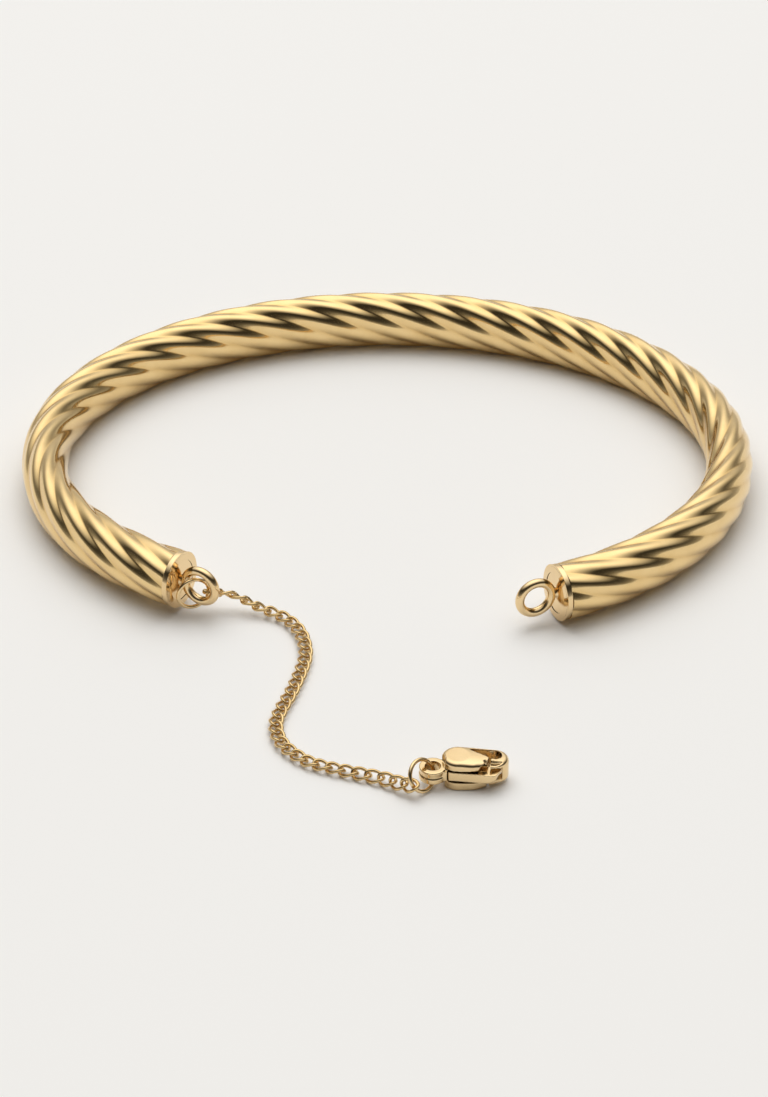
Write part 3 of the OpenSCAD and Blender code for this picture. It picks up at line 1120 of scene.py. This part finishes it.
    def _casing(self) -> Piece:
        """Draw the body over three rounded discs: casing end, waist and the lower, narrower hook.

        Returns:
            The body, not yet cut.
        """
        return Bench.hull(
            self._disc(self.rear, self.shift, self.radius, 0, self.thickness),
            self._disc(self.waist, self.shift, self.radius, 0, self.thickness - self.waist_drop),
            self._disc(self.length - self.hook_radius, self.shift + self.radius - self.hook_radius,
                       self.hook_radius, self.hook_rise, self.hook_top))

    def _disc(self, x: float, y: float, radius: float, low: float, high: float) -> Piece:
        """Make an upright disc, more rounded above than below.

        Args:
            x: Its place along the clasp.
            y: Its place across the clasp.
            radius: Its radius.
            low: Height of its foot.
            high: Height of its top.

        Returns:
            The disc.
        """
        disc = self._rod("disc", x, y, radius, low, high, 64)
        Bench.edit(disc)
        for height, width in ((high, self.top_round), (low, self.foot_round)):
            Bench.pick(disc, "EDGE", lambda co, way: abs(way.z) < 1e-7 and abs(co.z - height) < 1e-6)
            bpy.ops.mesh.bevel(offset=width, segments=5, profile=0.5)
        bpy.ops.object.mode_set(mode="OBJECT")
        return disc

    def _eye(self) -> Piece:
        """Make the cutter for the hook's pear-shaped eye.

        Returns:
            The cutter.
        """
        x = self.length - self.hook_wall - self.eye_radius
        wall = self.shift + self.radius - self.rear_wall
        eye = self._rod("eye", x, wall - self.eye_radius, self.eye_radius, -self.spare, self.clear_top, 64)
        tip = self._rod("eye_tip", self.eye_tip_place, wall - self.eye_tip_radius - self.eye_tip_inset,
                        self.eye_tip_radius, -self.spare, self.clear_top, 24)
        return Bench.hull(eye, tip)

    def _tail_ring(self) -> Piece:
        """Make the grooved ring at the tail, with its edges rounded.

        Returns:
            The ring.
        """
        middle = self.tail_middle
        low, high = middle - self.tail_height / 2, middle + self.tail_height / 2
        ring = self._rod("tail", 0, 0, self.tail_diameter / 2, low, high, 64)
        Bench.edit(ring)
        Bench.pick(ring, "EDGE", lambda co, way: abs(way.z) < 1e-7)
        bpy.ops.mesh.bevel(offset=self.tail_bevel, segments=3, profile=0.5)
        for height in (middle - self.tail_groove, middle, middle + self.tail_groove):
            bpy.ops.mesh.select_all(action="SELECT")
            bpy.ops.mesh.bisect(plane_co=(0, 0, height), plane_no=(0, 0, 1))
        Bench.pick(ring, "VERT", lambda co, _: abs(co.z - middle) < 1e-6)
        bpy.ops.transform.resize(value=(self.groove_share, self.groove_share, 1),
                                 center_override=(0, 0, middle))
        bpy.ops.object.mode_set(mode="OBJECT")
        Bench.cut(ring, self._rod("tail_hole", 0, 0, self.tail_hole / 2,
                                  low - self.spare, high + self.spare))
        return ring

    def _cast(self, piece: Piece) -> Piece:
        """Melt a piece's parts together and soften its edges, as in a polished casting.

        Args:
            piece: The piece, in the clasp's own plan.

        Returns:
            The same piece, in its place in the scene.
        """
        Bench.modify(piece, "REMESH", mode="VOXEL", voxel_size=self.voxel)
        Bench.modify(piece, "SMOOTH", factor=0.5, iterations=3)
        Bench.hold(piece)
        bpy.ops.object.shade_smooth()
        return Bench.settle(piece, None, self.place)

    def build_body(self, finish: bpy.types.Material) -> Piece:
        """Make the casing, hook and tail ring in one casting.

        Args:
            finish: The casting's material.

        Returns:
            The finished casting.
        """
        body = self._casing()
        half_tail = self.tail_height / 2 - self.tail_bevel
        half_neck = self.neck_width / 2
        neck = self._block(
            "neck",
            Vector((self.tail_diameter / 2 - self.neck_overlap, -half_neck, self.tail_middle - half_tail)),
            Vector((self.rear - self.neck_overlap, half_neck, self.tail_middle + half_tail)))
        Bench.cut(body, neck, "UNION")
        Bench.cut(body, self._eye())
        Bench.cut(body, self._block(
            "gate", Vector((-self.gate_width / 2, 0, -self.spare)),
            Vector((self.gate_width / 2, self.radius + self.gate_length, self.clear_top)),
            self.gate_lean, Vector((self.gate_middle, self.front - self.spare, 0))))
        Bench.cut(body, self._level_rod("mouth", self.mouth_radius, 96, Vector((
            self.gate_middle + self.mouth_shift, self.front + self.mouth_inset,
            self.hook_top + self.mouth_radius - self.mouth_depth))))
        half_slot = self.lever_thickness / 2 + self.lever_slit
        slot = (self.thickness / 2 - half_slot, self.thickness / 2 + half_slot)
        for step in range(self.slot_steps + 1):
            turn = self.lever_travel * step / self.slot_steps
            Bench.cut(body, self._lever_plan("slot", *slot, self.lever_clear, turn))
        Bench.cut(body, self._level_rod("notch", self.notch_radius, 48, Vector((
            self.gate_middle + self.notch_shift, self.notch_back, slot[1]))))
        Bench.cut(body, self._rod("tail_room", 0, 0, self.tail_diameter / 2 - self.tail_bevel,
                                  -self.spare, self.clear_top, 64))
        body = Bench.join(body, self._tail_ring())
        self._cast(body)
        body.name = body.data.name = "clasp_casting"
        Bench.paint(body, finish)
        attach(body, "bangle")
        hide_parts("clasp_body")
        return body

    def build_lever(self, finish: bpy.types.Material) -> Piece:
        """Make the sprung lever with its thumb nub.

        Args:
            finish: The lever's material.

        Returns:
            The finished lever.
        """
        low = (self.thickness - self.lever_thickness) / 2
        lever = self._lever_plan("lever", low, low + self.lever_thickness, 0)
        wedge = self._block("wedge", Vector((0, -self.width, -self.length)),
                            Vector((self.length, self.width, 0)))
        Bench.settle(wedge, Euler((0, math.radians(-self.tip_slope), 0)), Vector((self.tip_start, 0, low)))
        Bench.cut(lever, wedge)
        self._cast(lever)
        lever.name = lever.data.name = "lever_plate"
        Bench.paint(lever, finish)
        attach(lever, "lever")
        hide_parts("clasp_lever")
        return lever


@dataclass
class RingPair:
    """The two jump rings, which hang on the left eyelet and on the clasp's tail ring."""

    eyelet: Vector
    tail: Vector
    chain_diameter: float = 3.1 * MM
    chain_turn: tuple[float, float] = (-68.6, 91.7)
    chain_hang: tuple[float, float, float] = (-0.62, 0.17, -0.85)
    chain_overlap: float = 0.3 * MM
    chain_link_place: float = -8.0
    clasp_diameter: float = 2.88 * MM
    clasp_turn: tuple[float, float] = (-42.1, 63.4)
    clasp_hang: tuple[float, float, float] = (-0.87, -0.75, 0.15)
    clasp_overlap: float = 0.11 * MM
    clasp_link_place: float = 195.0

    def __post_init__(self) -> None:
        """Hang both rings."""
        self.chain = self._hang("chain_ring", self.chain_diameter, self.eyelet, self.chain_turn,
                                self.chain_hang, self.chain_overlap)
        self.clasp = self._hang("clasp_ring", self.clasp_diameter, self.tail, self.clasp_turn,
                                self.clasp_hang, self.clasp_overlap)

    @staticmethod
    def _hang(node: str, diameter: float, hook: Vector, turn: tuple[float, float],
              way: tuple[float, float, float], overlap: float) -> JumpRing:
        """Hang a jump ring on what it goes through.

        Args:
            node: The ring's CAD node.
            diameter: Its outer diameter.
            hook: Middle of the hole that it goes through.
            turn: Its direction and its lean, in degrees.
            way: Way from the hole's middle to the ring's own.
            overlap: How much nearer than its radius its middle lies.

        Returns:
            The ring.
        """
        ring = JumpRing(node, diameter, hook, *turn)
        ring.middle = hook + Vector(way).normalized() * (ring.radius - overlap)
        return ring

    def chain_ends(self) -> tuple[Vector, Vector]:
        """Where the chain hangs in each ring's wire."""
        return self.chain.spot(self.chain_link_place), self.clasp.spot(self.clasp_link_place)


@dataclass
class Studio:
    """Pale floor, soft lights and the camera."""

    camera_place: tuple[float, float, float] = (-0.278 * MM, -257.0 * MM, 159.5 * MM)
    camera_tilt: float = 57.0
    focal_share: float = 3315.8 / 1097
    sensor: float = 36.0
    near: float = 0.01
    floor_size: float = 3.0
    floor_colour: tuple[float, float, float, float] = (0.9, 0.895, 0.885, 1.0)
    dark: float = 0.03
    bright: float = 1.8
    dark_tint: tuple[float, float, float, float] = (1.0, 0.93, 0.75, 1.0)
    bright_tint: tuple[float, float, float, float] = (1.0, 0.985, 0.955, 1.0)
    # How far the bright dome leans back: the sine and cosine of about 18 degrees
    dome_back: float = 0.312
    dome_up: float = 0.95
    dome_edge: float = 0.4
    dome_middle: float = 0.94
    dome_glow: float = 0.87
    back_glow: float = 0.25
    skirt_glow: float = 0.24
    fill_place: tuple[float, float, float] = (-0.1, 0.35, 1.0)
    fill_size: tuple[float, float] = (1.0, 0.8)
    fill_glow: float = 1.4

    def build(self) -> None:
        """Set up the whole studio."""
        self._camera()
        self._floor()
        self._lights()
        bpy.context.scene.view_settings.view_transform = "Standard"

    def _camera(self) -> None:
        """Camera at the photograph's place."""
        data = bpy.data.cameras.new("camera")
        data.sensor_width = self.sensor
        data.lens = self.sensor * self.focal_share
        data.clip_start = self.near
        camera = bpy.data.objects.new("camera", data)
        camera.location = self.camera_place
        camera.rotation_euler = (math.radians(self.camera_tilt), 0, 0)
        bpy.context.collection.objects.link(camera)
        bpy.context.scene.camera = camera

    def _floor(self) -> None:
        """Matt near-white floor."""
        Bench.clear()
        bpy.ops.mesh.primitive_plane_add(size=self.floor_size)
        floor = Bench.named("floor")
        material = bpy.data.materials.new("floor_paper")
        material.use_nodes = True
        table = NodeTable(material.node_tree)
        shader = table.make("ShaderNodeBsdfPrincipled", None, {
            "Base Color": self.floor_colour, "Roughness": 0.8, "Specular IOR Level": 0.1})
        table.make("ShaderNodeOutputMaterial", None, {"Surface": shader.outputs[0]})
        floor.data.materials.append(material)

    def _lights(self) -> None:
        """Tent of soft light above and behind, dark towards the front, and a fill light for the floor."""
        world = bpy.data.worlds.new("room")
        bpy.context.scene.world = world
        world.use_nodes = True
        table = NodeTable(world.node_tree)
        way = table.make("ShaderNodeSeparateXYZ", None, {
            0: table.make("ShaderNodeTexCoord").outputs["Generated"]}).outputs
        behind, up = Term(table, way["Y"]), Term(table, way["Z"]).above(0.0)
        low = 1.0 - up
        dome = (up * self.dome_up + behind * self.dome_back).spread(self.dome_edge, self.dome_middle) ** 1.5
        back = behind.above(0.0) ** 2.0 * low
        glow = dome * self.dome_glow + back * self.back_glow + low ** 6.0 * self.skirt_glow
        shades = [table.make("ShaderNodeBackground", None, {"Color": tint, "Strength": strength}).outputs[0]
                  for tint, strength in ((self.dark_tint, self.dark), (self.bright_tint, self.bright))]
        room = table.make("ShaderNodeMixShader", None, {0: glow, 1: shades[0], 2: shades[1]})
        table.make("ShaderNodeOutputWorld", None, {"Surface": room.outputs[0]})
        fill = self._soft_box("fill_box", self.fill_place, self.fill_size, self.fill_glow)
        fill.visible_glossy = False

    def _soft_box(self, name: str, place: tuple[float, float, float], size: tuple[float, float],
                  glow: float) -> Piece:
        """One soft box that faces the bangle.

        Args:
            name: The light's name.
            place: Its middle, in metres.
            size: Its width and height, in metres.
            glow: How bright it looks, with 1 for white.

        Returns:
            The light.
        """
        data = bpy.data.lights.new(name, "AREA")
        data.shape = "RECTANGLE"
        data.size, data.size_y = size
        data.energy = glow * math.pi * size[0] * size[1]
        light = bpy.data.objects.new(name, data)
        light.location = place
        light.rotation_euler = (-Vector(place)).to_track_quat("-Z", "Y").to_euler()
        bpy.context.collection.objects.link(light)
        return light


def main() -> None:
    """Build the studio and every piece, fit each piece inside its CAD node's box, and log its face count.
    """
    logging.basicConfig(level=logging.INFO, format="%(name)s: %(message)s")
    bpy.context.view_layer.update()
    Studio().build()
    finishes = Finishes()
    gold = {finish.name: finish.build() for finish in
            (finishes.tube, finishes.cap, finishes.ring, finishes.chain, finishes.clasp)}
    oval = Oval()
    tube = TwistedTube(oval)
    made = [tube.build(gold["tube_gold"])]
    caps = {side: EndCap(side, oval, tube) for side in Side}
    made += [cap.build(gold["cap_gold"]) for cap in caps.values()]
    left = caps[Side.LEFT]
    clasp = Clasp()
    rings = RingPair(left.foot + left.way * left.reach, clasp.place + Vector((0, 0, clasp.tail_middle)))
    made += [ring.build(gold["ring_gold"]) for ring in (rings.chain, rings.clasp)]
    made.append(SafetyChain(*rings.chain_ends()).build(gold["chain_gold"]))
    made += [clasp.build_body(gold["clasp_gold"]), clasp.build_lever(gold["clasp_gold"])]
    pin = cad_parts["clasp_pin"]
    Bench.paint(pin, gold["clasp_gold"])
    nodes = ("twisted_tube", *(side.value for side in Side), "chain_ring", "clasp_ring", "safety_chain",
             "clasp_body", "clasp_lever")
    for piece, node in zip(made, nodes):
        fit_inside(piece, node)
        log.info("%s: %d faces", piece.name, len(piece.data.polygons))


if __name__ == "__main__":
    main()
